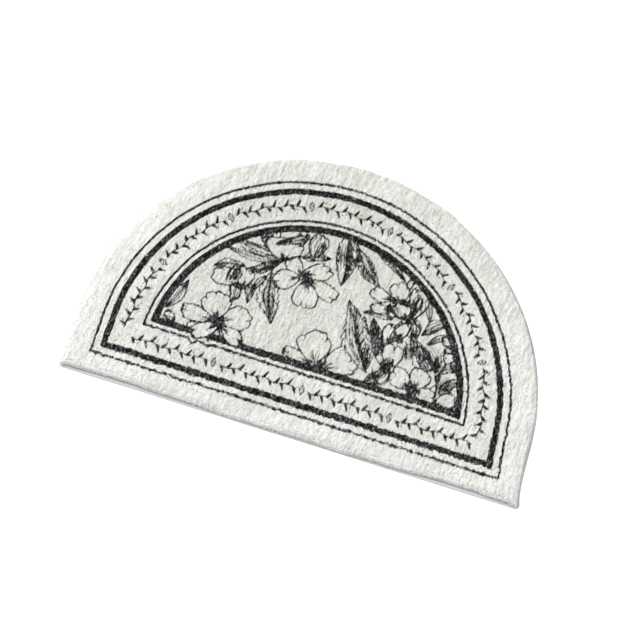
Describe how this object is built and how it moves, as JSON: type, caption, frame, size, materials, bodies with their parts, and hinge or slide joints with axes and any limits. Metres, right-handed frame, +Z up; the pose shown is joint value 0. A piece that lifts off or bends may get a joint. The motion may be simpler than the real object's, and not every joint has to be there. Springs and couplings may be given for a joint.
{
  "type": "half moon rug",
  "caption": "Flat half moon rug of thick cream plush with a straight front edge, a bound rim and a charcoal border print round a flower field.",
  "frame": {"origin": "on the floor, in the middle of the rug's length and depth", "axes": "+X along the straight front edge, +Y from that edge to the top of the arc, +Z up out of the pile"},
  "size_m": [0.8, 0.5, 0.0147],
  "materials": {
    "plush_pile": "matt cut pile, cream with a charcoal print",
    "binding_tape": "matt woven tape, pale grey"
  },
  "bodies": {
    "root": {"plush_panel": "plush_pile", "edge_binding": "binding_tape"}
  },
  "joints": []
}
